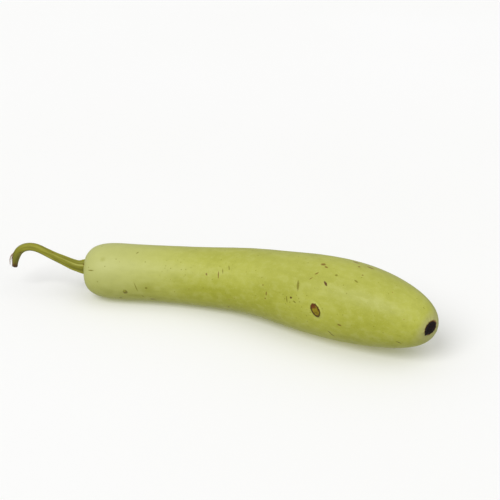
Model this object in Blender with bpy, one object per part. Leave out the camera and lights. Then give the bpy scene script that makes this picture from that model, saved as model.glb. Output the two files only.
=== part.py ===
"""A bottle gourd as picked, lying on a surface: the fruit, its cut stem and the dried blossom scar.

Metres, +Z up. The stem end points to -X and the blossom end to +X. The fruit lies on the plane
z = 0, and the origin is the middle of the bottom of the whole gourd's box.
"""

import bmesh
import bpy
import numpy as np

MM = 0.001
CLEARANCE = 0.3 * MM  # between two pieces that meet

# Fruit. The spine is a smooth curve over equal steps of FRUIT_SPAN along X, from stem end to
# blossom end. At each step it has a sideways place (Y) and a radius.
FRUIT_SPAN = 340 * MM
SPINE_SIDEWAYS = [-6, 10, 20.5, 20.5, 10.5, 1.5, -13.5]
BODY_RADII = [27.2, 26.2, 27.6, 31.2, 36, 37.4, 37]
STEM_CAP = 45 * MM  # length of the rounding at the stem end
STEM_CAP_POWER = 3.2  # 2 is an ellipse, more is blunter
BLOSSOM_CAP = 125 * MM
BLOSSOM_CAP_POWER = 2.35
FRUIT_RINGS = 58
FRUIT_SIDES = 40

# The fruit's weight flattens it slightly where it rests, under the belly and under the neck,
# and between the two it stands just clear of the surface.
REST_PRESS = 0.7 * MM
MIDDLE_LIFT = 0.9 * MM
LIFT_START = 0.30  # as fractions of the span
LIFT_END = 0.60

# Stem. It leaves the fruit level, rises, then hooks over and points down.
STEM_LENGTH = 87 * MM
STEM_RISE = np.radians(24.5)
STEM_RISE_BY = 0.18  # fraction of its length where it has turned up
STEM_HOOK = np.radians(108)
HOOK_START = 0.47
HOOK_END = 0.99
STEM_SWAY = np.radians(-12)
STEM_OFFSET = 2 * MM  # upwards from the fruit's axis
STEM_BASE_RADIUS = 6.9 * MM
STEM_RADIUS = 5.5 * MM  # just past the flare
STEM_NECK_RADIUS = 3.8 * MM  # at the hook
STEM_TIP_RADIUS = 2.6 * MM
FLARE_LENGTH = 9 * MM
TIP_LENGTH = 14 * MM
STEM_RIDGES = 5
RIDGE_HEIGHT = 0.06  # as a fraction of the radius
STEM_RINGS = 30
STEM_SIDES = 20

# Blossom scar: an oval corky disc in a shallow seat. It is off the fruit's axis, on the rounding
# of the end, so it faces a little sideways and up.
SCAR_LONG_RADIUS = 6.4 * MM
SCAR_SHORT_RADIUS = 4.4 * MM
SCAR_TURN = np.radians(-33)  # of the long radius, from level
SCAR_THICKNESS = 1.2 * MM
SCAR_DOME = 0.4 * MM
SCAR_OFFSET = 8 * MM
SCAR_OFFSET_TURN = np.radians(28)  # upwards from -Y
SCAR_DROP = 1.6 * MM  # how far back from the end of the axis
SCAR_TILT = np.radians(22)
SCAR_RINGS = 4
SCAR_SIDES = 28

# The fruit's rings smaller than these lean over to the stem or the scar.
STEM_LEAN_RADIUS = 20 * MM
SCAR_LEAN_RADIUS = 26 * MM

SEAT_DEPTH = 0.9 * MM  # of the hollows that hold the stem and the scar
SEAT_LIP = 0.6 * MM  # how far the hollow's floor is smaller than its mouth

SKIN_GREEN = (0.49, 0.50, 0.15)
STEM_GREEN = (0.28, 0.27, 0.05)
SCAR_BROWN = (0.02, 0.014, 0.012)


def clear_scene():
    for obj in list(bpy.data.objects):
        bpy.data.objects.remove(obj, do_unlink=True)


def make_material(name, colour, roughness):
    material = bpy.data.materials.new(name)
    material.use_nodes = True
    shader = material.node_tree.nodes["Principled BSDF"]
    shader.inputs["Base Color"].default_value = (*colour, 1)
    shader.inputs["Roughness"].default_value = roughness
    shader.inputs["Metallic"].default_value = 0
    return material


def smooth_step(t):
    t = np.clip(t, 0, 1)
    return t * t * (3 - 2 * t)


def natural_spline(values, at):
    """The natural cubic through equally spaced values, read at fractions 0 to 1 of their span."""
    values = np.asarray(values, float)
    last = len(values) - 1
    system = np.eye(last + 1)
    jumps = np.zeros(last + 1)
    for i in range(1, last):
        system[i, i - 1 : i + 2] = (1, 4, 1)
        jumps[i] = 6 * (values[i - 1] - 2 * values[i] + values[i + 1])
    bend = np.linalg.solve(system, jumps)
    left = np.clip((at * last).astype(int), 0, last - 1)
    b = at * last - left
    a = 1 - b
    straight = a * values[left] + b * values[left + 1]
    return straight + ((a**3 - a) * bend[left] + (b**3 - b) * bend[left + 1]) / 6


def lengths_along(points):
    """The distance from the first point to each point."""
    steps = np.linalg.norm(np.diff(points, axis=0), axis=1)
    return np.concatenate([[0], np.cumsum(steps)])


def unit(vectors):
    return vectors / np.linalg.norm(vectors, axis=-1, keepdims=True)


def level_frames(points):
    """Tangent, level side and upward direction at each point of a curve that is never vertical."""
    tangents = unit(np.gradient(points, axis=0))
    sides = unit(np.cross(tangents, (0, 0, 1)))
    return tangents, sides, np.cross(sides, tangents)


def cap_factor(distance, length, power):
    """How much of its radius the body has at a distance from its end."""
    remaining = np.clip(1 - distance / length, 0, 1)
    return (1 - remaining**power) ** (1 / power)


def fruit_spine(samples=2000):
    """Points of the fruit's spine, close together, with the fruit's radius at each."""
    # The points crowd towards the ends, where the radius changes fast.
    at = 0.5 - 0.5 * np.cos(np.linspace(0, np.pi, samples))
    body = natural_spline(BODY_RADII, at) * MM
    middle = np.clip((at - LIFT_START) / (LIFT_END - LIFT_START), 0, 1)
    height = body - REST_PRESS + MIDDLE_LIFT * np.sin(np.pi * middle) ** 2
    sideways = natural_spline(SPINE_SIDEWAYS, at) * MM
    points = np.stack([at * FRUIT_SPAN, sideways, height], axis=1)
    along = lengths_along(points)
    stem_cap = cap_factor(along, STEM_CAP, STEM_CAP_POWER)
    blossom_cap = cap_factor(along[-1] - along, BLOSSOM_CAP, BLOSSOM_CAP_POWER)
    return points, body * stem_cap * blossom_cap


def rings_from_spine(points, radii, first_radius, last_radius, count):
    """Evenly spaced rings between the two radii: places on the spine, counted in samples."""
    start = int(np.argmax(radii > first_radius))
    end = len(radii) - 1 - int(np.argmax(radii[::-1] > last_radius))
    profile = np.stack([lengths_along(points), radii], axis=1)[start : end + 1]
    surface = lengths_along(profile)
    even = np.linspace(0, surface[-1], count)
    return np.interp(even, surface, np.arange(start, end + 1))


def tube_object(name, rings, first_pole, last_pole, material):
    """A closed mesh through rings of points, with a fan of faces to a pole at each end."""
    mesh = bmesh.new()
    loops = [[mesh.verts.new(point) for point in ring] for ring in rings]
    for lower, upper in zip(loops, loops[1:]):
        for k in range(len(lower)):
            after = (k + 1) % len(lower)
            mesh.faces.new((lower[k], lower[after], upper[after], upper[k]))
    for pole, loop in ((first_pole, loops[0]), (last_pole, loops[-1])):
        centre = mesh.verts.new(pole)
        for k in range(len(loop)):
            mesh.faces.new((centre, loop[k], loop[(k + 1) % len(loop)]))
    bmesh.ops.recalc_face_normals(mesh, faces=mesh.faces)
    data = bpy.data.meshes.new(name)
    mesh.to_mesh(data)
    mesh.free()
    data.shade_smooth()
    data.set_sharp_from_angle(angle=np.radians(40))
    data.materials.append(material)
    obj = bpy.data.objects.new(name, data)
    bpy.context.scene.collection.objects.link(obj)
    return obj


def circle(centre, side, up, radius, angles):
    """A ring of points. The radius is one value, or one for each angle."""
    radius = np.broadcast_to(radius, angles.shape)
    across = (radius * np.cos(angles))[:, None] * side
    upward = (radius * np.sin(angles))[:, None] * up
    return centre + across + upward


def oval_radius(angles, grow=0.0):
    """The scar's outline, as a radius at each angle."""
    long = SCAR_LONG_RADIUS + grow
    short = SCAR_SHORT_RADIUS + grow
    turned = angles - SCAR_TURN
    return long * short / np.hypot(short * np.cos(turned), long * np.sin(turned))


def lean_towards_scar(tangent, side, up, share):
    """How far a ring's centre moves, and its tilted axis, side and up, at a share of the lean."""
    towards = np.cos(SCAR_OFFSET_TURN) * side + np.sin(SCAR_OFFSET_TURN) * up
    tilt = share * SCAR_TILT
    tilted = [
        vector + (np.cos(tilt) - 1) * (vector @ tangent * tangent + vector @ towards * towards)
        + np.sin(tilt) * (vector @ tangent * towards - vector @ towards * tangent)
        for vector in (tangent, side, up)
    ]
    return share * (SCAR_OFFSET * towards - SCAR_DROP * tangent), tilted


def fruit_ends():
    """Place, outward direction, side and up of the stem's seat and of the scar's seat."""
    points, _ = fruit_spine()
    tangents, sides, ups = level_frames(points)
    stem = (points[0] + STEM_OFFSET * ups[0], -tangents[0], sides[0], ups[0])
    move, tilted = lean_towards_scar(tangents[-1], sides[-1], ups[-1], 1.0)
    return stem, (points[-1] + move, *tilted)


def build_fruit(material):
    points, radii = fruit_spine()
    stem_mouth = STEM_BASE_RADIUS + CLEARANCE + SEAT_LIP
    scar_mouth = SCAR_LONG_RADIUS + CLEARANCE + SEAT_LIP
    places = rings_from_spine(points, radii, stem_mouth, scar_mouth, FRUIT_RINGS)
    sample = np.arange(len(points))
    centres = np.stack([np.interp(places, sample, points[:, i]) for i in range(3)], axis=1)
    ring_radii = np.interp(places, sample, radii)
    angles = np.linspace(0, 2 * np.pi, FRUIT_SIDES, endpoint=False)
    rings = []
    for place, centre, tangent, side, up, radius in zip(places, centres, *level_frames(centres), ring_radii):
        if place > len(points) / 2:
            share = 1 - smooth_step(radius / SCAR_LEAN_RADIUS)
            move, (_, side, up) = lean_towards_scar(tangent, side, up, share)
        else:
            move = (1 - smooth_step(radius / STEM_LEAN_RADIUS)) * STEM_OFFSET * up
        rings.append(circle(centre + move, side, up, radius, angles))

    stem_seat, scar_seat = fruit_ends()
    stem_floor = stem_mouth - SEAT_LIP
    rings.insert(0, circle(stem_seat[0] - SEAT_DEPTH * stem_seat[1], *stem_seat[2:], stem_floor, angles))
    scar_rim = oval_radius(angles, CLEARANCE + SEAT_LIP)
    scar_floor = oval_radius(angles, CLEARANCE)
    rings[-1] = circle(scar_seat[0], *scar_seat[2:], scar_rim, angles)
    rings.append(circle(scar_seat[0] - SEAT_DEPTH * scar_seat[1], *scar_seat[2:], scar_floor, angles))

    rings = [np.column_stack([ring[:, :2], np.maximum(ring[:, 2], 0)]) for ring in rings]
    poles = [place - SEAT_DEPTH * outward for place, outward, _, _ in (stem_seat, scar_seat)]
    return tube_object("fruit", rings, *poles, material)


def stem_path(base, outward):
    """The stem's centreline from its base, with its side and up directions."""
    at = np.linspace(0, 1, STEM_RINGS)
    hook = smooth_step((at - HOOK_START) / (HOOK_END - HOOK_START))
    pitch = STEM_RISE * smooth_step(at / STEM_RISE_BY) - STEM_HOOK * hook
    yaw = np.arctan2(outward[1], outward[0]) + STEM_SWAY * smooth_step(at)
    heading = np.stack([np.cos(yaw), np.sin(yaw), np.zeros_like(yaw)], axis=1)
    tangents = heading * np.cos(pitch)[:, None] + np.outer(np.sin(pitch), (0, 0, 1))
    steps = (tangents[1:] + tangents[:-1]) / 2 * STEM_LENGTH / (STEM_RINGS - 1)
    centres = base + np.concatenate([[np.zeros(3)], np.cumsum(steps, axis=0)])
    sides = np.cross(heading, (0, 0, 1))
    return at, centres, sides, np.cross(sides, tangents)


def stem_radii(at):
    """The stem's radius along its length: flared at the fruit, dry and thin at the tip."""
    body = STEM_RADIUS + (STEM_NECK_RADIUS - STEM_RADIUS) * smooth_step(at / HOOK_START)
    flare = 1 - smooth_step(at * STEM_LENGTH / FLARE_LENGTH)
    dry = smooth_step(1 - (1 - at) * STEM_LENGTH / TIP_LENGTH)
    body = body + (STEM_BASE_RADIUS - STEM_RADIUS) * flare
    return body + (STEM_TIP_RADIUS - STEM_NECK_RADIUS) * dry


def build_stem(material):
    (place, outward, _, _), _ = fruit_ends()
    base = place - (SEAT_DEPTH - CLEARANCE) * outward
    at, centres, sides, ups = stem_path(base, outward)
    angles = np.linspace(0, 2 * np.pi, STEM_SIDES, endpoint=False)
    # The base ring stays round, so that it fits its seat.
    ridged = RIDGE_HEIGHT * smooth_step(at * STEM_LENGTH / FLARE_LENGTH)
    rings = []
    for centre, side, up, radius, ridge in zip(centres, sides, ups, stem_radii(at), ridged):
        outline = radius * (1 - ridge + ridge * np.cos(STEM_RIDGES * angles))
        rings.append(circle(centre, side, up, outline, angles))
    return tube_object("stem", rings, centres[0], centres[-1], material)


def build_blossom_scar(material):
    _, (place, outward, side, up) = fruit_ends()
    base = place - (SEAT_DEPTH - CLEARANCE) * outward
    angles = np.linspace(0, 2 * np.pi, SCAR_SIDES, endpoint=False)
    outline = oval_radius(angles)
    rings = [circle(base, side, up, outline, angles)]
    for shrink in np.linspace(1, 1 / SCAR_RINGS, SCAR_RINGS):
        height = SCAR_THICKNESS + SCAR_DOME * (1 - shrink**2)
        rings.append(circle(base + height * outward, side, up, shrink * outline, angles))
    top = base + (SCAR_THICKNESS + SCAR_DOME) * outward
    return tube_object("blossom_scar", rings, base, top, material)


def put_on_origin(pieces):
    """Hangs the pieces from one empty, moved so that the box's bottom middle is the origin."""
    corners = np.array([vertex.co for piece in pieces for vertex in piece.data.vertices])
    low = corners.min(axis=0)
    high = corners.max(axis=0)
    gourd = bpy.data.objects.new("bottle_gourd", None)
    bpy.context.scene.collection.objects.link(gourd)
    for piece in pieces:
        piece.parent = gourd
    middle = (low + high) / 2
    gourd.location = (-middle[0], -middle[1], -low[2])


def main():
    clear_scene()
    fruit = build_fruit(make_material("skin", SKIN_GREEN, 0.45))
    stem = build_stem(make_material("stem_rind", STEM_GREEN, 0.6))
    scar = build_blossom_scar(make_material("dried_scar", SCAR_BROWN, 0.9))
    put_on_origin([fruit, stem, scar])


main()
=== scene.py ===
"""The looks of a bottle gourd lying on a pale surface: skin, stem, dried scar, light and camera.

Metres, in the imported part's frame: +X from stem end to blossom end, +Z up, resting on z = 0.
"""

import bmesh
import bpy
import numpy as np
from mathutils import Matrix, Vector, noise


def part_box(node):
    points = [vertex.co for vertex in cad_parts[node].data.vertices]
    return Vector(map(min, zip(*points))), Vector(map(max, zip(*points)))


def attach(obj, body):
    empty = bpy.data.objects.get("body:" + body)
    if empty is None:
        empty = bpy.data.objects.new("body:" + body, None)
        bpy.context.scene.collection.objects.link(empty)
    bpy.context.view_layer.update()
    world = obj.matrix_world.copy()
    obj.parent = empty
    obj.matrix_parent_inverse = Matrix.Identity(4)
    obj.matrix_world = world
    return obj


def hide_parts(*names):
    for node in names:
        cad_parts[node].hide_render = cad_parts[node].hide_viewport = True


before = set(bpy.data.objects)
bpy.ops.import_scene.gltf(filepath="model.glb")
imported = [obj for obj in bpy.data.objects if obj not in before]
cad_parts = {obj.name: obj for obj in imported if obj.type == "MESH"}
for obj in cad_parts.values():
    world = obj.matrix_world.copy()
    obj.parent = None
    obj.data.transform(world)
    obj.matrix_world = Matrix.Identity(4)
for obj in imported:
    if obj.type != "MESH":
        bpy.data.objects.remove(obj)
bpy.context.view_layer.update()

MM = 0.001
BODY = "root"

# The construction's dimensions, repeated from the part's source.
FRUIT_SPAN = 340 * MM
SPINE_SIDEWAYS = [-6, 10, 20.5, 20.5, 10.5, 1.5, -13.5]
BODY_RADII = [27.2, 26.2, 27.6, 31.2, 36, 37.4, 37]
STEM_CAP = 45 * MM
STEM_CAP_POWER = 3.2
BLOSSOM_CAP = 125 * MM
BLOSSOM_CAP_POWER = 2.35
REST_PRESS = 0.7 * MM
MIDDLE_LIFT = 0.9 * MM
LIFT_START = 0.30
LIFT_END = 0.60
STEM_LENGTH = 87 * MM
STEM_RISE = np.radians(24.5)
STEM_RISE_BY = 0.18
STEM_HOOK = np.radians(108)
HOOK_START = 0.47
HOOK_END = 0.99
STEM_SWAY = np.radians(-12)
STEM_OFFSET = 2 * MM
STEM_BASE_RADIUS = 6.9 * MM
STEM_RADIUS = 5.5 * MM
STEM_NECK_RADIUS = 3.8 * MM
STEM_TIP_RADIUS = 2.6 * MM
FLARE_LENGTH = 9 * MM
TIP_LENGTH = 14 * MM
STEM_RIDGES = 5
SCAR_LONG_RADIUS = 6.4 * MM
SCAR_SHORT_RADIUS = 4.4 * MM
SCAR_TURN = np.radians(-33)
SCAR_OFFSET = 8 * MM
SCAR_OFFSET_TURN = np.radians(28)
SCAR_DROP = 1.6 * MM
SCAR_TILT = np.radians(22)
STEM_LEAN_RADIUS = 20 * MM
SCAR_LEAN_RADIUS = 26 * MM
CLEARANCE = 0.3 * MM
SEAT_DEPTH = 0.9 * MM

# Marks on the skin: distance along the spine in mm, degrees round from the top towards -Y,
# half length and half width in mm, and the turn of the length from lengthwise, in degrees.
OVAL_SCAR = (246, 82.5, 6.0, 3.7, 58)
DARK_MARKS = [
    (250, 43, 2.4, 1.0, 45),
    (258, 116, 2.2, 0.4, 50),
    (260, 121, 2.2, 0.4, 45),
    (324, 119, 2.4, 0.4, 40),
    (68, 129, 2.4, 0.6, 0),
    (37, 131, 1.5, 0.4, 30),
    (222, 73, 1.0, 0.9, 0),
]
BROWN_MARKS = [
    (240, 13, 2.2, 1.6, 0),
    (244, 17, 1.6, 0.8, 20),
    (239, 31, 1.9, 0.6, -50),
    (195, 76, 1.8, 0.6, 90),
    (138, 58, 3.2, 0.55, 85),
    (146, 124, 1.0, 0.7, 0),
    (263, -14, 3.2, 1.3, 10),
    (277, -11, 3.2, 1.1, 8),
    (269, -2, 1.1, 0.9, 0),
    (277, 14, 0.8, 0.6, 0),
    (269, 97, 1.8, 0.8, 10),
    (125, 58, 1.2, 0.8, 60),
    (236, 40, 1.6, 0.4, -50),
    (190, 64, 0.8, 0.6, 90),
    (194, 84, 0.8, 0.6, 0),
]
OLIVE_MARKS = [
    (226.5, 54, 4.3, 1.1, 78),
    (9.5, 65, 2.6, 0.6, 0),
    (63, 95, 1.2, 1.0, 0),
    (218, 77, 3.0, 0.5, 80),
    (226, 78, 1.6, 0.6, 30),
    (53, 94, 4.8, 0.4, 70),
    (59, 119, 1.8, 0.5, 50),
    (52, 19, 1.6, 0.6, -45),
    (142, 50, 2.4, 0.5, 75),
    (148, 43, 2.2, 0.5, 65),
    (275, 28, 2.2, 0.7, 20),
    (256, 27, 1.2, 0.9, 0),
]
# Nicks on the back: how many, the seed, then the ranges of place, degrees round and size.
BACK_NICKS = (9, 3, (25, 325), (-180, -30), (0.8, 2.2))
# Patches with fine speckles, and softer bruised ones.
SPECKLED_PATCHES = [(93, 49, 16, 9, 0), (142, 46, 12, 6, 0), (222, 78, 16, 8, 0)]
SOFT_PATCHES = [
    (63, 95, 6.0, 4.5, 0),
    (50, 117, 5.0, 2.0, 0),
    (20, 40, 2.2, 2.0, 0),
]
# A brown ring near the stem end, and the red and dark parts of the oval scar.
RING_SPOT = (42.5, 107, 2.3, 1.9, 80)
RING_HOLLOW = (41.9, 105, 1.0, 0.9, 0)
OVAL_RED = (243.5, 77.5, 2.2, 2.2, 0)
OVAL_DARK = (249.5, 80.5, 3.2, 1.6, 40)

# Strands at the stem's torn tip: mm from the tip where each starts, its reach in mm, the degrees
# round the stem from its side, how far it stands off, its half width and its curl, in mm.
FIBRES = [
    (13.0, 14.0, 108, 2.7, 0.85, 0.4),
    (12.0, 11.0, 116, 1.9, 0.70, -0.4),
    (9.0, 9.0, 96, 1.4, 0.50, 0.5),
    (4.0, 5.0, 140, 0.8, 0.2, 0.3),
    (4.0, 4.5, 40, 0.9, 0.2, -0.4),
]

# Fine meshes. A ridge's height is a share of the stem's radius.
FRUIT_RINGS = 330
FRUIT_SIDES = 270
STEM_RINGS = 220
STEM_SIDES = 110
RIDGE_HEIGHT = 0.035
RIDGE_GAIN = 0.07
SCAR_RINGS = 26
SCAR_SIDES = 120
SKIN_GAP = 0.15 * MM
TAIL_TURN = np.radians(-39)

# Stage. Angles in degrees: azimuth 0 looks along +Y.
VIEW_AZIMUTH = 21
VIEW_ELEVATION = 28
VIEW_DISTANCE = 1.30
VIEW_LENS = 104
VIEW_FROM = (39.2, -9.9, 35.0)
VIEW_CENTRE = (23.9, 2.3, 66.8)
FLOOR_SIZE = 40
FLOOR_DROP = -0.05 * MM
# Each light's name, azimuth, elevation, spread and strength.
SUNS = [
    ("key_light", -14, 46, 36, 1.50),
    ("fill_light", 85, 55, 60, 0.50),
]
WORLD_STRENGTH = 0.54
FLOOR_GLOW = 0.06


def srgb(red, green, blue):
    """A colour in linear light, from 0 to 255 values."""
    values = np.array([red, green, blue]) / 255
    linear = np.where(values < 0.04045, values / 12.92, ((values + 0.055) / 1.055) ** 2.4)
    return (*linear.tolist(), 1.0)


SKIN_DEEP = srgb(166, 169, 46)
SKIN_PALE = srgb(178, 181, 64)
SKIN_PALEST = srgb(190, 193, 98)
SKIN_DEEPEST = srgb(154, 157, 38)
SKIN_BRUISED = srgb(146, 148, 14)
# Painted sheen on the upper side, and a painted highlight on the upper side near the stem end.
UPPER_SIDE_PAINTED_SHEEN = srgb(180, 182, 104)
NECK_PAINTED_HIGHLIGHT = srgb(190, 193, 122)
GROUND_YELLOW = srgb(205, 203, 120)
FRECKLE_OLIVE = srgb(132, 130, 14)
FRECKLE_BROWN = srgb(150, 118, 28)
MARK_OLIVE = srgb(116, 108, 0)
MARK_BROWN = srgb(118, 80, 0)
MARK_DARK = srgb(86, 50, 0)
RING_OLIVE = srgb(104, 88, 0)
OVAL_INSIDE = srgb(146, 130, 14)
OVAL_RIM = srgb(72, 42, 0)
OVAL_REDDISH = srgb(112, 50, 14)
COLLAR_GREEN = srgb(140, 144, 42)
# The pale halo round the blossom scar is partly the skin's own colour and partly a painted
# reflection.
PALE_HALO_AND_PAINTED_REFLECTION = srgb(180, 175, 132)
HALO_BROWN = srgb(112, 62, 16)
STEM_DEEP = srgb(134, 132, 34)
STEM_PALE = srgb(150, 148, 42)
# A painted highlight for the stem's ridge crests and painted shade for its grooves and hooked end;
# these two colours also give the fibres' own pale and dark streaks.
STEM_CREST_HIGHLIGHT_AND_PALE_FIBRE = srgb(180, 180, 92)
STEM_GROOVE_SHADE_AND_DARK_FIBRE = srgb(98, 98, 20)
TIP_REDDISH = srgb(104, 52, 22)
TIP_DARK = srgb(48, 24, 14)
FIBRE_PALE = srgb(184, 152, 110)
FIBRE_BROWN = srgb(116, 68, 38)
SCAR_BLACK = srgb(17, 11, 12)
SCAR_BROWN = srgb(44, 27, 24)
SCAR_ASH = srgb(64, 52, 46)
FLOOR_WHITE = srgb(245, 245, 245)
FLOOR_WARM = srgb(242, 242, 240)


# ---------------------------------------------------------------- the construction's curves


def smooth_step(t):
    t = np.clip(t, 0, 1)
    return t * t * (3 - 2 * t)


def natural_spline(values, at):
    """The natural cubic through equally spaced values, read at fractions 0 to 1 of their span."""
    values = np.asarray(values, float)
    last = len(values) - 1
    system = np.eye(last + 1)
    jumps = np.zeros(last + 1)
    for i in range(1, last):
        system[i, i - 1 : i + 2] = (1, 4, 1)
        jumps[i] = 6 * (values[i - 1] - 2 * values[i] + values[i + 1])
    bend = np.linalg.solve(system, jumps)
    left = np.clip((at * last).astype(int), 0, last - 1)
    b = at * last - left
    a = 1 - b
    straight = a * values[left] + b * values[left + 1]
    return straight + ((a**3 - a) * bend[left] + (b**3 - b) * bend[left + 1]) / 6


def lengths_along(points):
    steps = np.linalg.norm(np.diff(points, axis=0), axis=1)
    return np.concatenate([[0], np.cumsum(steps)])


def unit(vectors):
    return vectors / np.linalg.norm(vectors, axis=-1, keepdims=True)


def level_frames(points):
    """Tangent, level side and upward direction at each point of a curve that is never vertical."""
    tangents = unit(np.gradient(points, axis=0))
    sides = unit(np.cross(tangents, (0, 0, 1)))
    return tangents, sides, np.cross(sides, tangents)


def cap_factor(distance, length, power):
    remaining = np.clip(1 - distance / length, 0, 1)
    return (1 - remaining**power) ** (1 / power)


def fruit_spine(samples=2000):
    """Points of the fruit's spine, close together, with the fruit's radius at each."""
    at = 0.5 - 0.5 * np.cos(np.linspace(0, np.pi, samples))
    body = natural_spline(BODY_RADII, at) * MM
    middle = np.clip((at - LIFT_START) / (LIFT_END - LIFT_START), 0, 1)
    height = body - REST_PRESS + MIDDLE_LIFT * np.sin(np.pi * middle) ** 2
    sideways = natural_spline(SPINE_SIDEWAYS, at) * MM
    points = np.stack([at * FRUIT_SPAN, sideways, height], axis=1)
    along = lengths_along(points)
    stem_cap = cap_factor(along, STEM_CAP, STEM_CAP_POWER)
    blossom_cap = cap_factor(along[-1] - along, BLOSSOM_CAP, BLOSSOM_CAP_POWER)
    return points, body * stem_cap * blossom_cap


def lean_towards_scar(tangent, side, up, share):
    """How far a ring's centre moves, and its tilted axis, side and up, at a share of the lean."""
    towards = np.cos(SCAR_OFFSET_TURN) * side + np.sin(SCAR_OFFSET_TURN) * up
    tilt = share * SCAR_TILT
    tilted = [
        vector + (np.cos(tilt) - 1) * (vector @ tangent * tangent + vector @ towards * towards)
        + np.sin(tilt) * (vector @ tangent * towards - vector @ towards * tangent)
        for vector in (tangent, side, up)
    ]
    return share * (SCAR_OFFSET * towards - SCAR_DROP * tangent), tilted


def fruit_ends():
    """Place, outward direction, side and up of the stem's seat and of the scar's seat."""
    points, _ = fruit_spine()
    tangents, sides, ups = level_frames(points)
    stem = (points[0] + STEM_OFFSET * ups[0], -tangents[0], sides[0], ups[0])
    move, tilted = lean_towards_scar(tangents[-1], sides[-1], ups[-1], 1.0)
    return stem, (points[-1] + move, *tilted)


def oval_radius(angles, grow=0.0):
    """The blossom scar's outline, as a radius at each angle."""
    long = SCAR_LONG_RADIUS + grow
    short = SCAR_SHORT_RADIUS + grow
    turned = angles - SCAR_TURN
    return long * short / np.hypot(short * np.cos(turned), long * np.sin(turned))


def circle(centre, side, up, radius, angles):
    """A ring of points. The radius is one value, or one for each angle."""
    radius = np.broadcast_to(radius, angles.shape)
    across = (radius * np.cos(angles))[:, None] * side
    upward = (radius * np.sin(angles))[:, None] * up
    return centre + across + upward


def stem_path(base, outward, count):
    """The stem's centreline from its base, with its side and up directions."""
    at = np.linspace(0, 1, count)
    hook = smooth_step((at - HOOK_START) / (HOOK_END - HOOK_START))
    pitch = STEM_RISE * smooth_step(at / STEM_RISE_BY) - STEM_HOOK * hook
    yaw = np.arctan2(outward[1], outward[0]) + STEM_SWAY * smooth_step(at)
    heading = np.stack([np.cos(yaw), np.sin(yaw), np.zeros_like(yaw)], axis=1)
    tangents = heading * np.cos(pitch)[:, None] + np.outer(np.sin(pitch), (0, 0, 1))
    steps = (tangents[1:] + tangents[:-1]) / 2 * STEM_LENGTH / (count - 1)
    centres = base + np.concatenate([[np.zeros(3)], np.cumsum(steps, axis=0)])
    sides = np.cross(heading, (0, 0, 1))
    return at, centres, sides, np.cross(sides, tangents)


def stem_radii(at):
    body = STEM_RADIUS + (STEM_NECK_RADIUS - STEM_RADIUS) * smooth_step(at / HOOK_START)
    flare = 1 - smooth_step(at * STEM_LENGTH / FLARE_LENGTH)
    dry = smooth_step(1 - (1 - at) * STEM_LENGTH / TIP_LENGTH)
    body = body + (STEM_BASE_RADIUS - STEM_RADIUS) * flare
    return body + (STEM_TIP_RADIUS - STEM_NECK_RADIUS) * dry


# ---------------------------------------------------------------- fine meshes


def noise_field(points, seed):
    """Smooth noise from -1 to 1 at points given in units of its grain."""
    shift = Vector((seed * 17.3, seed * -9.1, seed * 5.7))
    flat = points.reshape(-1, 3)
    values = [noise.noise(Vector(point) + shift) for point in flat]
    return np.array(values).reshape(points.shape[:-1])


def bell(x):
    return np.exp(-(x**2))


def graded(start, stop, count, crowds):
    """Places from start to stop, closer together round each (centre, width, gain) in crowds."""
    fine = np.linspace(start, stop, 4000)
    density = np.ones_like(fine)
    for centre, width, gain in crowds:
        density += gain * bell((fine - centre) / width)
    total = np.concatenate([[0], np.cumsum((density[1:] + density[:-1]) / 2)])
    return np.interp(np.linspace(0, total[-1], count), total, fine)


def grid_normals(grid):
    """Outward normals of a grid of rings, which close round their second direction."""
    lengthwise = np.gradient(grid, axis=0)
    round_about = np.roll(grid, -1, axis=1) - np.roll(grid, 1, axis=1)
    normals = unit(np.cross(lengthwise, round_about))
    outward = grid - grid.mean(axis=1, keepdims=True)
    middle = len(grid) // 2
    return normals * np.sign((normals[middle] * outward[middle]).sum())


def smooth_piece(name, points, faces, material):
    """A smooth piece with its faces turned outwards."""
    data = bpy.data.meshes.new(name)
    data.from_pydata(points, [], faces)
    mesh = bmesh.new()
    mesh.from_mesh(data)
    bmesh.ops.recalc_face_normals(mesh, faces=mesh.faces)
    mesh.to_mesh(data)
    mesh.free()
    data.shade_smooth()
    data.materials.append(material)
    obj = bpy.data.objects.new(name, data)
    bpy.context.scene.collection.objects.link(obj)
    return obj


def tube_piece(name, rings, poles, attributes, material):
    """A closed smooth piece through rings of points. Each attribute has a value for each point."""
    count, sides = rings.shape[:2]
    points = np.concatenate([rings.reshape(-1, 3), poles])
    index = np.arange(count * sides).reshape(count, sides)
    after = np.roll(index, -1, axis=1)
    quads = np.stack([index[:-1], after[:-1], after[1:], index[1:]], axis=-1).reshape(-1, 4)
    first = [(count * sides, after[0, k], index[0, k]) for k in range(sides)]
    last = [(count * sides + 1, index[-1, k], after[-1, k]) for k in range(sides)]
    obj = smooth_piece(name, points.tolist(), quads.tolist() + first + last, material)
    for title, values in attributes.items():
        values = np.asarray(values, np.float32)
        kind, field = ("FLOAT_VECTOR", "vector") if values.ndim == 2 else ("FLOAT", "value")
        obj.data.attributes.new(title, kind, "POINT").data.foreach_set(field, values.ravel())
    return obj


def hand_over(piece, slot, *replaced):
    """Puts a piece on the gourd's one body and hides the nodes it stands for. The slot is not used.
    """
    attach(piece, BODY)
    if replaced:
        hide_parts(*replaced)


# ---------------------------------------------------------------- fruit


def mark_radius(mark, along, around, radius):
    """Distance from a mark's middle as a share of its own size: 1 on its outline."""
    place, turn_round, half_length, half_width, turn = mark
    lengthwise = along / MM - place
    across = radius / MM * (around - np.radians(turn_round))
    turn = np.radians(turn)
    u = lengthwise * np.cos(turn) + across * np.sin(turn)
    v = across * np.cos(turn) - lengthwise * np.sin(turn)
    return np.hypot(u / half_length, v / half_width)


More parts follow.
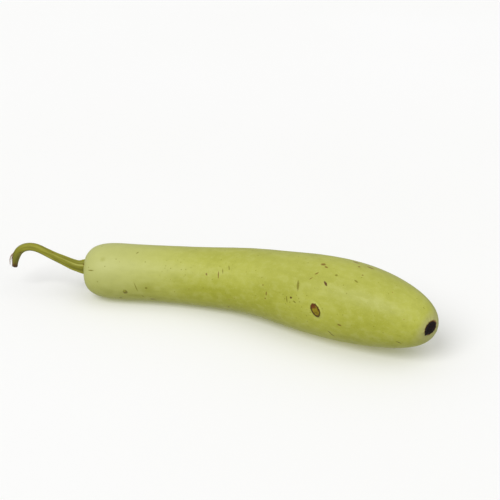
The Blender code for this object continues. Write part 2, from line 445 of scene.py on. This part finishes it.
def skin_relief(along, around, radius, place):
    """How far the skin stands out, in metres: lumps, healed marks and creases at the ends."""
    relief = 0.35 * MM * noise_field(place / 0.045, 1)
    relief += 0.10 * MM * noise_field(place / 0.012, 2)
    oval = mark_radius(OVAL_SCAR, along, around, radius)
    wobble = 0.06 * noise_field(place / 0.0022, 3)
    relief += 0.55 * MM * bell((oval - 1 + wobble) / 0.16)
    relief -= 0.35 * MM * (1 - smooth_step((oval - 0.55) / 0.4))
    relief -= 0.25 * MM * bell((oval - 1.45) / 0.25)
    for mark in DARK_MARKS:
        relief -= 0.3 * MM * bell(mark_radius(mark, along, around, radius))
    for mark in BROWN_MARKS + OLIVE_MARKS:
        relief -= 0.12 * MM * bell(mark_radius(mark, along, around, radius))
    relief += 0.2 * MM * bell((mark_radius(RING_SPOT, along, around, radius) - 1) / 0.35)
    creases = np.cos(11 * around + 1.3 * np.sin(3 * around))
    stem_end = np.exp((STEM_BASE_RADIUS - radius) / (7 * MM)) * (along < 60 * MM)
    blossom_end = np.exp((SCAR_LONG_RADIUS - radius) / (5 * MM)) * (along > 300 * MM)
    return relief + creases * (0.22 * MM * stem_end + 0.16 * MM * blossom_end)


def fruit_rings():
    points, radii = fruit_spine()
    along = lengths_along(points)
    start = int(np.argmax(radii > STEM_BASE_RADIUS + SKIN_GAP))
    end = len(radii) - 1 - int(np.argmax(radii[::-1] > SCAR_LONG_RADIUS + SKIN_GAP))
    surface = lengths_along(np.stack([along, radii], axis=1)[start : end + 1])
    oval_at = np.interp(OVAL_SCAR[0] * MM, along[start : end + 1], surface)
    crowds = [(oval_at, 9 * MM, 2.2), (0, 20 * MM, 0.8), (surface[-1], 14 * MM, 0.8)]
    even = graded(0, surface[-1], FRUIT_RINGS, crowds)
    places = np.interp(even, surface, np.arange(start, end + 1))
    sample = np.arange(len(points))
    centres = np.stack([np.interp(places, sample, points[:, i]) for i in range(3)], axis=1)
    radius = np.interp(places, sample, radii)
    ring_along = np.interp(places, sample, along)

    oval_round = np.radians(OVAL_SCAR[1])
    around = graded(-np.pi, np.pi, FRUIT_SIDES + 1, [(oval_round, 0.22, 2.0)])[:-1]
    angles = np.pi / 2 - around
    rings = []
    spine = zip(places, centres, *level_frames(centres), radius)
    for place, centre, tangent, side, up, size in spine:
        if place > len(points) / 2:
            share = 1 - smooth_step(size / SCAR_LEAN_RADIUS)
            move, (_, side, up) = lean_towards_scar(tangent, side, up, share)
        else:
            move = (1 - smooth_step(size / STEM_LEAN_RADIUS)) * STEM_OFFSET * up
        rings.append(circle(centre + move, side, up, size, angles))
    rings = np.array(rings)
    _, scar_seat = fruit_ends()
    rings[-1] = circle(scar_seat[0], *scar_seat[2:], oval_radius(angles, SKIN_GAP), angles)
    return rings, ring_along, around, radius


def build_fruit(material, parts, shift):
    rings, ring_along, around, radius = parts
    angles = np.pi / 2 - around
    stem_seat, scar_seat = fruit_ends()
    grid_along = np.broadcast_to(ring_along[:, None], rings.shape[:2])
    grid_around = np.broadcast_to(around, rings.shape[:2])
    grid_radius = np.repeat(radius[:, None], len(around), axis=1)
    grid_radius[-1] = oval_radius(angles, SKIN_GAP)
    straight = [grid_along, grid_radius * np.sin(grid_around), grid_radius * np.cos(grid_around)]
    pattern = np.stack(straight, axis=-1)
    relief = skin_relief(grid_along, grid_around, grid_radius, pattern)
    rings = rings + relief[..., None] * grid_normals(rings)

    rims = (STEM_BASE_RADIUS - SKIN_GAP, oval_radius(angles, -SKIN_GAP))
    floors = [
        circle(seat[0] - SEAT_DEPTH * seat[1], *seat[2:], rim, angles)
        for seat, rim in zip((stem_seat, scar_seat), rims)
    ]
    rings = np.concatenate([floors[0][None], rings, floors[1][None]])
    poles = np.array([seat[0] - SEAT_DEPTH * seat[1] for seat in (stem_seat, scar_seat)])
    pattern = np.concatenate([pattern[:1], pattern, pattern[-1:]]).reshape(-1, 3)
    pattern = np.concatenate([pattern, [(0, 0, 0), (ring_along[-1], 0, 0)]])
    rings = rings + shift
    rings[..., 2] = np.maximum(rings[..., 2], 0)
    return tube_piece("gourd_skin", rings, poles + shift, {"pattern": pattern}, material)


def frame_shift(rings):
    """From the construction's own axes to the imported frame, by the fruit's own box."""
    low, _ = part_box("fruit")
    return np.array([low.x - rings[..., 0].min(), low.y - rings[..., 1].min(), 0.0])


# ---------------------------------------------------------------- stem


def build_stem(material, shift):
    (place, outward, _, _), _ = fruit_ends()
    base = place - (SEAT_DEPTH - CLEARANCE) * outward
    at, centres, sides, ups = stem_path(base, outward, STEM_RINGS)
    angles = np.linspace(0, 2 * np.pi, STEM_SIDES, endpoint=False)
    length = at * STEM_LENGTH
    near_fruit = 1 - smooth_step(length / (32 * MM))
    ridge = RIDGE_HEIGHT + RIDGE_GAIN * near_fruit
    twist = 0.35 * at
    rings = []
    ribs = []
    for i in range(STEM_RINGS):
        turned = angles + twist[i]
        rib = np.cos(STEM_RIDGES * turned) + 0.35 * np.cos(2 * STEM_RIDGES * turned + 0.8)
        outline = stem_radii(at[i]) * (1 + ridge[i] * (rib - 0.5))
        rings.append(circle(centres[i], sides[i], ups[i], outline, angles))
        ribs.append(rib)
    rings = np.array(rings)
    pattern = np.stack(np.broadcast_arrays(
        length[:, None], STEM_RADIUS * np.cos(angles), STEM_RADIUS * np.sin(angles)), axis=-1)
    relief = 0.22 * MM * noise_field(pattern / (0.010, 0.004, 0.004), 5)
    relief += 0.10 * MM * noise_field(pattern / (0.009, 0.0012, 0.0012), 6)
    rings = rings + relief[..., None] * grid_normals(rings)

    # The tip is torn: its rim is ragged, and a dry hollow goes in behind it.
    torn = smooth_step((length - STEM_LENGTH + 3 * MM) / (3 * MM))[:, None]
    ragged = noise_field(pattern[-1] / 0.0016, 7)
    tangents = np.cross(ups, sides)
    rings = rings + (torn * ragged * 0.9 * MM)[..., None] * tangents[:, None, :]
    hollow = [centres[-1] + (rings[-1] - centres[-1]) * shrink - depth * MM * tangents[-1]
              for shrink, depth in ((0.82, 0.4), (0.66, 1.6), (0.4, 2.2))]
    rings = np.concatenate([rings, hollow])
    poles = np.array([centres[0], centres[-1] - 2.4 * MM * tangents[-1]])
    pattern = np.concatenate([pattern, pattern[-1:], pattern[-1:], pattern[-1:]]).reshape(-1, 3)
    pattern = np.concatenate([pattern, [(0, 0, 0), (STEM_LENGTH, 0, 0)]])
    rib = np.concatenate([np.ravel(ribs + [ribs[-1]] * 3), [0, 0]])
    attributes = {"pattern": pattern, "rib": rib}
    return tube_piece("stem_rind_skin", rings + shift, poles + shift, attributes, material)


def build_fibres(material, shift):
    """Thin dry strands torn off the outer side of the stem's tip."""
    (place, outward, _, _), _ = fruit_ends()
    base = place - (SEAT_DEPTH - CLEARANCE) * outward
    at, centres, sides, ups = stem_path(base, outward, STEM_RINGS)
    tangents = np.cross(ups, sides)
    radii = stem_radii(at)
    vertices = []
    faces = []
    for from_tip, reach, angle, spread, width, curl in FIBRES:
        start = int(np.argmin(np.abs((1 - at) * STEM_LENGTH - from_tip * MM)))
        angle = np.radians(angle)
        out = np.cos(angle) * sides[start] + np.sin(angle) * ups[start]
        side = np.cross(tangents[start], out)
        root = centres[start] + (radii[start] - 0.2 * MM) * out
        steps = np.linspace(0, 1, 16)
        first = len(vertices)
        for t in steps:
            middle = root + reach * MM * t * ((1 - t) * tangents[start] + t * tangents[-1])
            middle = middle + MM * (spread * t * (2 - t) * out + curl * np.sin(4 * t) * t * side)
            thick = width * MM * (1 - 0.75 * t) * (0.6 + 0.4 * np.sin(np.pi * min(1, 4 * t) / 2))
            for k in range(6):
                turn = np.pi / 3 * k
                vertices.append(middle + thick * (np.cos(turn) * side + 0.45 * np.sin(turn) * out))
        for i in range(len(steps) - 1):
            for k in range(6):
                a = first + 6 * i + k
                b = first + 6 * i + (k + 1) % 6
                faces.append((a, b, b + 6, a + 6))
        faces.append(tuple(first + k for k in range(5, -1, -1)))
        faces.append(tuple(first + 6 * (len(steps) - 1) + k for k in range(6)))
    return smooth_piece("stem_fibres", [tuple(v + shift) for v in vertices], faces, material)


# ---------------------------------------------------------------- blossom scar


def build_scar(material, shift):
    _, (place, outward, side, up) = fruit_ends()
    angles = np.linspace(0, 2 * np.pi, SCAR_SIDES, endpoint=False)
    directions = np.stack([np.cos(angles), np.sin(angles), np.zeros_like(angles)], axis=1)
    ragged = noise_field(directions * 2.6, 8) * 0.35 * MM
    ragged += noise_field(directions * 7, 9) * 0.25 * MM
    tail = bell((np.angle(np.exp(1j * (angles - TAIL_TURN)))) / 0.16)
    outline = oval_radius(angles, SKIN_GAP) + ragged
    bottom = place - SEAT_DEPTH * 0.6 * outward
    rings = [circle(bottom, side, up, oval_radius(angles, -0.3 * MM), angles)]
    shares = np.concatenate([[1.0], np.linspace(0.97, 0.04, SCAR_RINGS)])
    pattern = [np.zeros((SCAR_SIDES, 3))]
    for share in shares:
        flat = directions[:, :2] * (share * outline)[:, None]
        grain = np.column_stack([flat, np.zeros(SCAR_SIDES)])
        crust = 0.55 * MM * bell((share - 0.80) / 0.13) - 0.35 * MM * bell(share / 0.45)
        cracks = -0.35 * MM * bell(noise_field(grain / 0.0022, 10) / 0.10) * (share < 0.95)
        lumps = 0.28 * MM * noise_field(grain / 0.0013, 11)
        lumps += 0.3 * MM * noise_field(grain / 0.004, 12)
        rise = crust + lumps + cracks + 0.35 * MM
        height = 0.15 * MM + rise * smooth_step((1 - share) / 0.1)
        grow = 1 + tail * 0.30 * smooth_step((share - 0.6) / 0.4)
        ring = place + height[:, None] * outward
        ring = ring + (flat[:, :1] * grow[:, None]) * side + (flat[:, 1:2] * grow[:, None]) * up
        rings.append(ring - (tail * 0.5 * MM * (share > 0.9))[:, None] * outward)
        pattern.append(grain)
    rings = np.array(rings)
    poles = np.array([bottom, place + 0.2 * MM * outward])
    pattern = np.concatenate([np.reshape(pattern, (-1, 3)), np.zeros((2, 3))])
    return tube_piece("scar_crust", rings + shift, poles + shift, {"pattern": pattern}, material)


# ---------------------------------------------------------------- materials


class Finish:
    """One material's nodes, with a short call for each kind used here."""

    def __init__(self, name, roughness):
        self.material = bpy.data.materials.new(name)
        self.material.use_nodes = True
        self.tree = self.material.node_tree
        self.shader = self.tree.nodes["Principled BSDF"]
        self.shader.inputs["Roughness"].default_value = roughness
        self.place = self.attribute("pattern", "Vector")

    def node(self, kind, **settings):
        made = self.tree.nodes.new(kind)
        for key, value in settings.items():
            setattr(made, key, value)
        return made

    def feed(self, socket, value):
        if isinstance(value, bpy.types.NodeSocket):
            self.tree.links.new(value, socket)
        else:
            socket.default_value = value

    def attribute(self, name, output="Fac"):
        return self.node("ShaderNodeAttribute", attribute_name=name).outputs[output]

    def maths(self, operation, first, second=0.0, clamp=False):
        made = self.node("ShaderNodeMath", operation=operation, use_clamp=clamp)
        self.feed(made.inputs[0], first)
        self.feed(made.inputs[1], second)
        return made.outputs[0]

    def ramp(self, value, low, high, bottom=0.0, top=1.0):
        """Bottom up to low, top from high, and a smooth rise between. Low may exceed high."""
        made = self.node("ShaderNodeMapRange", interpolation_type="SMOOTHSTEP")
        for socket, given in zip(made.inputs, (value, low, high, bottom, top)):
            self.feed(socket, given)
        return made.outputs[0]

    def mix(self, share, first, second, blend="MIX"):
        made = self.node("ShaderNodeMix", data_type="RGBA", blend_type=blend)
        self.feed(made.inputs[0], share)
        self.feed(made.inputs[6], first)
        self.feed(made.inputs[7], second)
        return made.outputs[2]

    def grain(self, size, stretch=1.0, detail=2.0, seed=0, rough=0.5):
        """Noise whose blotches are about size metres across, and longer lengthwise by stretch."""
        mapping = self.node("ShaderNodeMapping")
        self.feed(mapping.inputs["Vector"], self.place)
        mapping.inputs["Location"].default_value = (seed * 3.7, seed * 1.9, seed * -2.3)
        mapping.inputs["Scale"].default_value = (1 / (size * stretch), 1 / size, 1 / size)
        made = self.node("ShaderNodeTexNoise")
        self.feed(made.inputs["Vector"], mapping.outputs[0])
        made.inputs["Scale"].default_value = 1.0
        made.inputs["Detail"].default_value = detail
        made.inputs["Roughness"].default_value = rough
        return made.outputs[0]

    def cells(self, size, seed):
        """Distance to the nearest of scattered points, in sizes, and a random value for each."""
        mapping = self.node("ShaderNodeMapping")
        self.feed(mapping.inputs["Vector"], self.place)
        mapping.inputs["Location"].default_value = (seed * 2.9, seed * 4.1, seed * -1.7)
        mapping.inputs["Scale"].default_value = (1 / size, 1 / size, 1 / size)
        made = self.node("ShaderNodeTexVoronoi")
        self.feed(made.inputs["Vector"], mapping.outputs[0])
        made.inputs["Scale"].default_value = 1.0
        split = self.node("ShaderNodeSeparateColor")
        self.feed(split.inputs[0], made.outputs["Color"])
        return made.outputs["Distance"], split.outputs[0]

    def part(self, axis):
        split = self.node("ShaderNodeSeparateXYZ")
        self.feed(split.inputs[0], self.place)
        return split.outputs[axis]

    def finish(self, colour, roughness, bumps):
        """Bumps are (height, distance in metres) pairs, the coarsest first."""
        self.feed(self.shader.inputs["Base Color"], colour)
        self.feed(self.shader.inputs["Roughness"], roughness)
        normal = None
        for height, distance in bumps:
            bump = self.node("ShaderNodeBump")
            bump.inputs["Distance"].default_value = distance
            self.feed(bump.inputs["Height"], height)
            if normal:
                self.feed(bump.inputs["Normal"], normal)
            normal = bump.outputs[0]
        self.feed(self.shader.inputs["Normal"], normal)
        return self.material


def fruit_radius_at(along):
    points, radii = fruit_spine()
    return float(np.interp(along, lengths_along(points), radii))


def mark_distance(finish, mark, wobble=None, depth=4.0):
    """The mark's own distance, as in mark_radius, worked out by nodes."""
    place, turn_round, half_length, half_width, turn = mark
    turn_round = np.radians(turn_round)
    radius = fruit_radius_at(place * MM)
    mapping = finish.node("ShaderNodeMapping", vector_type="TEXTURE")
    finish.feed(mapping.inputs["Vector"], finish.place)
    mapping.inputs["Location"].default_value = (
        place * MM, radius * np.sin(turn_round), radius * np.cos(turn_round))
    lie = Matrix.Rotation(-turn_round, 3, "X") @ Matrix.Rotation(np.radians(turn), 3, "Z")
    mapping.inputs["Rotation"].default_value = lie.to_euler("XYZ")
    mapping.inputs["Scale"].default_value = (half_length * MM, half_width * MM, depth * MM)
    length = finish.node("ShaderNodeVectorMath", operation="LENGTH")
    finish.feed(length.inputs[0], mapping.outputs[0])
    distance = length.outputs["Value"]
    return finish.maths("ADD", distance, wobble) if wobble else distance


def marks_mask(finish, marks, wobble, soft=0.35):
    """One inside any of the marks and zero outside, with an edge as soft as given."""
    mask = None
    for mark in marks:
        inside = finish.ramp(mark_distance(finish, mark, wobble), 1 + soft, 1 - soft)
        mask = finish.maths("MAXIMUM", mask, inside) if mask else inside
    return mask


def scattered_marks(count, seed, along, around, sizes):
    """Small marks within these ranges of along, in mm, around, in degrees, and size, in mm."""
    rng = np.random.default_rng(seed)
    marks = []
    for _ in range(count):
        size = rng.uniform(*sizes)
        width = size * rng.uniform(0.35, 0.8)
        marks.append((rng.uniform(*along), rng.uniform(*around), size, width, rng.uniform(-90, 90)))
    return marks


def skin_finish():
    skin = Finish("gourd_skin_finish", 0.45)
    along = skin.part("X")
    blotches = skin.grain(0.030, 2.2, 3, seed=1, rough=0.55)
    mottle = skin.grain(0.0055, 1.4, 3, seed=2)
    streaks = skin.grain(0.0026, 16, 2, seed=3)
    fine = skin.grain(0.0011, 1.0, 2, seed=4)
    wobble = skin.maths("SUBTRACT", skin.grain(0.0014, 1, 2, seed=5), 0.5)
    wobble = skin.maths("MULTIPLY", wobble, 0.9)

    colour = skin.mix(skin.ramp(blotches, 0.36, 0.64), SKIN_DEEP, SKIN_PALE)
    colour = skin.mix(skin.ramp(mottle, 0.45, 0.70, 0, 0.40), colour, SKIN_PALEST)
    colour = skin.mix(skin.ramp(mottle, 0.48, 0.28, 0, 0.36), colour, SKIN_DEEPEST)
    colour = skin.mix(skin.ramp(streaks, 0.50, 0.72, 0, 0.22), colour, SKIN_DEEPEST)
    colour = skin.mix(skin.ramp(fine, 0.56, 0.70, 0, 0.35), colour, SKIN_PALEST)

    # Painted sheen makes the upper side paler and greyer; a painted highlight lies on the upper
    # side near the stem end, strongest at the end. The underside, which the light didn't reach, is
    # yellower.
    upper = skin.part("Z")
    colour = skin.mix(skin.ramp(upper, -0.010, 0.034, 0, 0.30), colour, UPPER_SIDE_PAINTED_SHEEN)
    neck_highlight = skin.ramp(along, 0.135, 0.0)
    neck_highlight = skin.maths("MULTIPLY", neck_highlight, skin.ramp(upper, -0.022, 0.012, 0.25, 0.8))
    colour = skin.mix(neck_highlight, colour, NECK_PAINTED_HIGHLIGHT)
    underneath = skin.ramp(upper, -0.027, -0.036)
    ground = skin.maths("MULTIPLY", underneath, skin.ramp(blotches, 0.3, 0.6, 0.35, 0.8))
    colour = skin.mix(ground, colour, GROUND_YELLOW)

    # Freckles, each at a scattered point, on some of the points only.
    freckles = ((0.0050, 0.15, 6, FRECKLE_OLIVE), (0.0085, 0.08, 7, FRECKLE_BROWN))
    for size, share, seed, tint in freckles:
        distance, chance = skin.cells(size, seed)
        distance = skin.maths("ADD", distance, skin.maths("MULTIPLY", wobble, 0.1))
        spot = skin.ramp(distance, share, share * 0.4)
        chosen = skin.ramp(chance, 0.55, 0.60, 0, 0.75)
        colour = skin.mix(skin.maths("MULTIPLY", spot, chosen), colour, tint)
    distance, chance = skin.cells(0.0028, 14)
    chosen = skin.ramp(chance, 0.45, 0.5, 0, 0.7)
    speckled = skin.maths("MULTIPLY", skin.ramp(distance, 0.30, 0.12), chosen)
    speckled = skin.maths("MULTIPLY", speckled, marks_mask(skin, SPECKLED_PATCHES, wobble, 0.6))
    colour = skin.mix(speckled, colour, FRECKLE_OLIVE)

    patches = marks_mask(skin, SOFT_PATCHES, wobble, 0.8)
    colour = skin.mix(skin.maths("MULTIPLY", patches, 0.35), colour, SKIN_BRUISED)
    for marks, tint, share in (
        (OLIVE_MARKS, MARK_OLIVE, 0.75),
        (BROWN_MARKS + scattered_marks(*BACK_NICKS), MARK_BROWN, 0.8),
        (DARK_MARKS, MARK_DARK, 0.97),
    ):
        mask = marks_mask(skin, marks, wobble)
        colour = skin.mix(skin.maths("MULTIPLY", mask, share), colour, tint)

    ring = skin.ramp(mark_distance(skin, RING_SPOT, wobble), 1.3, 0.9, 0, 0.75)
    colour = skin.mix(ring, colour, RING_OLIVE)
    hollow = skin.ramp(mark_distance(skin, RING_HOLLOW, wobble), 1.4, 0.7, 0, 0.9)
    colour = skin.mix(hollow, colour, SKIN_DEEP)

    oval = mark_distance(skin, OVAL_SCAR, skin.maths("MULTIPLY", wobble, 0.35), 6.0)
    colour = skin.mix(skin.ramp(oval, 1.9, 1.05, 0, 0.25), colour, SKIN_PALEST)
    colour = skin.mix(skin.ramp(oval, 1.02, 0.88), colour, OVAL_INSIDE)
    inner_cracks = skin.ramp(skin.grain(0.0012, 3, 2, seed=8), 0.52, 0.62, 0, 0.5)
    inner_cracks = skin.maths("MULTIPLY", inner_cracks, skin.ramp(oval, 0.9, 0.7))
    colour = skin.mix(inner_cracks, colour, OVAL_RIM)
    rim = skin.maths("MULTIPLY", skin.ramp(oval, 1.16, 1.02), skin.ramp(oval, 0.68, 0.86))
    colour = skin.mix(skin.maths("MULTIPLY", rim, 0.9), colour, OVAL_RIM)
    red = marks_mask(skin, [OVAL_RED], wobble, 0.5)
    red = skin.maths("MULTIPLY", red, skin.ramp(oval, 1.15, 0.95, 0, 0.85))
    colour = skin.mix(red, colour, OVAL_REDDISH)
    dark = marks_mask(skin, [OVAL_DARK], wobble, 0.5)
    dark = skin.maths("MULTIPLY", dark, skin.ramp(oval, 1.15, 1.0, 0, 0.9))
    colour = skin.mix(dark, colour, MARK_DARK)

    # A greener collar round the stem, and round the blossom scar a brown rim and a pale halo,
    # which is partly the skin's own colour and partly a painted grazing reflection.
    from_axis = skin.node("ShaderNodeVectorMath", operation="LENGTH")
    flat = skin.node("ShaderNodeVectorMath", operation="MULTIPLY")
    skin.feed(flat.inputs[0], skin.place)
    flat.inputs[1].default_value = (0, 1, 1)
    skin.feed(from_axis.inputs[0], flat.outputs[0])
    radius = skin.maths("ADD", from_axis.outputs["Value"], skin.maths("MULTIPLY", wobble, 0.0012))
    stem_end = skin.ramp(along, 0.030, 0.010)
    collar = skin.maths("MULTIPLY", skin.ramp(radius, 0.0105, 0.0070, 0, 0.7), stem_end)
    colour = skin.mix(collar, colour, COLLAR_GREEN)
    scar = skin.node("ShaderNodeMapping", vector_type="TEXTURE")
    skin.feed(scar.inputs["Vector"], flat.outputs[0])
    scar.inputs["Rotation"].default_value = (SCAR_TURN, 0, 0)
    scar.inputs["Scale"].default_value = (1, SCAR_LONG_RADIUS, SCAR_SHORT_RADIUS)
    from_scar = skin.node("ShaderNodeVectorMath", operation="LENGTH")
    skin.feed(from_scar.inputs[0], scar.outputs[0])
    from_scar = skin.maths("ADD", from_scar.outputs["Value"], skin.maths("MULTIPLY", wobble, 0.25))
    scar_end = skin.ramp(along, 0.31, 0.335)
    # The pale halo is partly the skin's own colour and partly a painted grazing reflection.
    halo_and_reflection = skin.maths("MULTIPLY", skin.ramp(from_scar, 3.4, 1.2, 0, 0.5), scar_end)
    colour = skin.mix(halo_and_reflection, colour, PALE_HALO_AND_PAINTED_REFLECTION)
    burnt = skin.maths("MULTIPLY", skin.ramp(from_scar, 1.30, 1.08, 0, 0.9), scar_end)
    colour = skin.mix(burnt, colour, HALO_BROWN)

    corky = skin.ramp(oval, 1.2, 0.95)
    roughness = skin.ramp(blotches, 0.3, 0.7, 0.40, 0.50)
    roughness = skin.maths("ADD", roughness, skin.maths("MULTIPLY", corky, 0.3), clamp=True)
    skin.shader.inputs["Specular IOR Level"].default_value = 0.35
    cork_bump = skin.maths("MULTIPLY", corky, skin.grain(0.0009, 1, 3, seed=9))
    bumps = [(mottle, 0.00025), (fine, 0.00006), (cork_bump, 0.0006)]
    return skin.finish(colour, roughness, bumps)


def stem_finish():
    stem = Finish("stem_finish", 0.55)
    along = stem.part("X")
    rib = stem.attribute("rib")
    fibres = stem.grain(0.0009, 22, 3, seed=11)
    blotches = stem.grain(0.006, 2.5, 3, seed=12)
    colour = stem.mix(stem.ramp(blotches, 0.35, 0.65), STEM_DEEP, STEM_PALE)
    # A painted highlight lightens the ridge crests near the fruit, and painted shade darkens the
    # grooves between the ridges and the hooked end towards the tip. The pale and dark fibre streaks
    # are the rind's own.
    near_fruit = stem.ramp(along, 0.034, 0.006)
    groove_shade = stem.ramp(rib, 0.2, -0.9, 0, 0.42)
    groove_shade = stem.maths("MULTIPLY", groove_shade, stem.ramp(along, 0.050, 0.010, 0.12, 1))
    colour = stem.mix(groove_shade, colour, STEM_GROOVE_SHADE_AND_DARK_FIBRE)
    crest_highlight = stem.maths("MULTIPLY", stem.ramp(rib, 0.85, 1.3), near_fruit)
    colour = stem.mix(stem.maths("MULTIPLY", crest_highlight, 0.8), colour, STEM_CREST_HIGHLIGHT_AND_PALE_FIBRE)
    colour = stem.mix(stem.ramp(fibres, 0.52, 0.72, 0, 0.4), colour, STEM_CREST_HIGHLIGHT_AND_PALE_FIBRE)
    colour = stem.mix(stem.ramp(fibres, 0.46, 0.28, 0, 0.4), colour, STEM_GROOVE_SHADE_AND_DARK_FIBRE)
    shaded = stem.ramp(along, STEM_LENGTH - 0.034, STEM_LENGTH - 0.004, 0, 0.55)
    colour = stem.mix(shaded, colour, STEM_GROOVE_SHADE_AND_DARK_FIBRE)
    distance, chance = stem.cells(0.0065, 13)
    spot = stem.ramp(distance, 0.22, 0.10)
    spot = stem.maths("MULTIPLY", spot, stem.ramp(chance, 0.62, 0.66, 0, 0.8))
    colour = stem.mix(spot, colour, MARK_BROWN)

    # The tip is brown where it is torn, and reddish where the rind has peeled off its outer side.
    fray = stem.maths("MULTIPLY", stem.maths("SUBTRACT", fibres, 0.5), 0.014)
    frayed = stem.maths("ADD", along, fray)
    torn = stem.ramp(frayed, STEM_LENGTH - 0.007, STEM_LENGTH - 0.001, 0, 0.75)
    colour = stem.mix(torn, colour, TIP_REDDISH)
    peel = stem.maths("MULTIPLY", stem.part("Y"), -0.31)
    peel = stem.maths("ADD", peel, stem.maths("MULTIPLY", stem.part("Z"), 0.95))
    peeled = stem.ramp(peel, STEM_RADIUS * 0.80, STEM_RADIUS * 0.93)
    near_tip = stem.ramp(frayed, STEM_LENGTH - 0.016, STEM_LENGTH - 0.010, 0, 0.85)
    peeled = stem.maths("MULTIPLY", peeled, near_tip)
    colour = stem.mix(peeled, colour, TIP_REDDISH)
    dry = stem.ramp(frayed, STEM_LENGTH - 0.004, STEM_LENGTH + 0.001, 0, 0.9)
    colour = stem.mix(dry, colour, TIP_DARK)
    stem.shader.inputs["Specular IOR Level"].default_value = 0.3
    roughness = stem.ramp(fibres, 0.3, 0.7, 0.48, 0.62)
    bumps = [(blotches, 0.0003), (fibres, 0.00025)]
    return stem.finish(colour, roughness, bumps)


def fibre_finish():
    fibre = Finish("fibre_finish", 0.7)
    coordinates = fibre.node("ShaderNodeTexCoord")
    fibre.place = coordinates.outputs["Object"]
    grain = fibre.grain(0.0011, 1, 3, seed=21)
    colour = fibre.mix(fibre.ramp(grain, 0.35, 0.65), FIBRE_BROWN, FIBRE_PALE)
    return fibre.finish(colour, fibre.ramp(grain, 0.3, 0.7, 0.6, 0.8), [(grain, 0.0001)])


def scar_finish():
    scar = Finish("scar_finish", 0.75)
    coarse = scar.grain(0.0022, 1, 4, seed=31)
    fine = scar.grain(0.0006, 1, 3, seed=32)
    colour = scar.mix(scar.ramp(coarse, 0.42, 0.68), SCAR_BLACK, SCAR_BROWN)
    colour = scar.mix(scar.ramp(fine, 0.60, 0.74, 0, 0.5), colour, SCAR_ASH)
    scar.shader.inputs["Specular IOR Level"].default_value = 0.2
    roughness = scar.ramp(coarse, 0.3, 0.7, 0.55, 0.85)
    return scar.finish(colour, roughness, [(coarse, 0.0006), (fine, 0.0003)])


def floor_finish():
    floor = Finish("floor_finish", 0.8)
    coordinates = floor.node("ShaderNodeTexCoord")
    floor.place = coordinates.outputs["Object"]
    grain = floor.grain(0.4, 1, 2, seed=41)
    colour = floor.mix(grain, FLOOR_WHITE, FLOOR_WARM)
    floor.shader.inputs["Specular IOR Level"].default_value = 0.1
    floor.shader.inputs["Emission Color"].default_value = (1, 1, 1, 1)
    floor.shader.inputs["Emission Strength"].default_value = FLOOR_GLOW
    return floor.finish(colour, 0.8, [(grain, 0.0001)])


# ---------------------------------------------------------------- stage


def from_angles(azimuth, elevation):
    """The direction towards a viewer at these angles: azimuth 0 looks along +Y."""
    azimuth, elevation = np.radians((azimuth, elevation))
    level = np.cos(elevation)
    return Vector((np.sin(azimuth) * level, -np.cos(azimuth) * level, np.sin(elevation)))


def place_facing(obj, place, backwards):
    """Puts a light or camera at a place, with its back to a direction."""
    obj.location = place
    obj.rotation_mode = "QUATERNION"
    obj.rotation_quaternion = (-backwards).to_track_quat("-Z", "Y")
    bpy.context.scene.collection.objects.link(obj)


def build_stage():
    mesh = bpy.data.meshes.new("floor")
    half = FLOOR_SIZE / 2
    corners = [(-half, -half, 0), (half, -half, 0), (half, half, 0), (-half, half, 0)]
    mesh.from_pydata(corners, [], [(0, 1, 2, 3)])
    mesh.materials.append(floor_finish())
    floor = bpy.data.objects.new("floor", mesh)
    floor.location.z = FLOOR_DROP
    bpy.context.scene.collection.objects.link(floor)
    # Light bounced off the floor would bleach the underside.
    floor.visible_diffuse = False
    floor.visible_glossy = False

    for name, azimuth, elevation, spread, strength in SUNS:
        light = bpy.data.lights.new(name, "SUN")
        light.angle = np.radians(spread)
        light.energy = strength
        direction = from_angles(azimuth, elevation)
        place_facing(bpy.data.objects.new(name, light), direction, direction)

    world = bpy.data.worlds.new("studio")
    world.use_nodes = True
    nodes = world.node_tree.nodes
    lit = nodes["Background"]
    lit.inputs["Color"].default_value = (1, 1, 1, 1)
    lit.inputs["Strength"].default_value = WORLD_STRENGTH
    seen = nodes.new("ShaderNodeBackground")
    seen.inputs["Color"].default_value = (1, 1, 1, 1)
    either = nodes.new("ShaderNodeMixShader")
    links = world.node_tree.links
    links.new(nodes.new("ShaderNodeLightPath").outputs["Is Camera Ray"], either.inputs[0])
    links.new(lit.outputs[0], either.inputs[1])
    links.new(seen.outputs[0], either.inputs[2])
    links.new(either.outputs[0], nodes["World Output"].inputs["Surface"])
    bpy.context.scene.world = world
    bpy.context.scene.view_settings.view_transform = "Standard"

    camera = bpy.data.cameras.new("camera")
    camera.lens = VIEW_LENS
    camera.clip_end = 50
    viewer = bpy.data.objects.new("camera", camera)
    place = Vector(VIEW_FROM) * MM + VIEW_DISTANCE * from_angles(VIEW_AZIMUTH, VIEW_ELEVATION)
    place_facing(viewer, place, place - Vector(VIEW_CENTRE) * MM)
    bpy.context.scene.camera = viewer


def main():
    parts = fruit_rings()
    shift = frame_shift(parts[0])
    hand_over(build_fruit(skin_finish(), parts, shift), "skin", "fruit")
    hand_over(build_stem(stem_finish(), shift), "stem_rind", "stem")
    hand_over(build_fibres(fibre_finish(), shift), "stem_rind")
    hand_over(build_scar(scar_finish(), shift), "dried_scar", "blossom_scar")
    build_stage()


main()
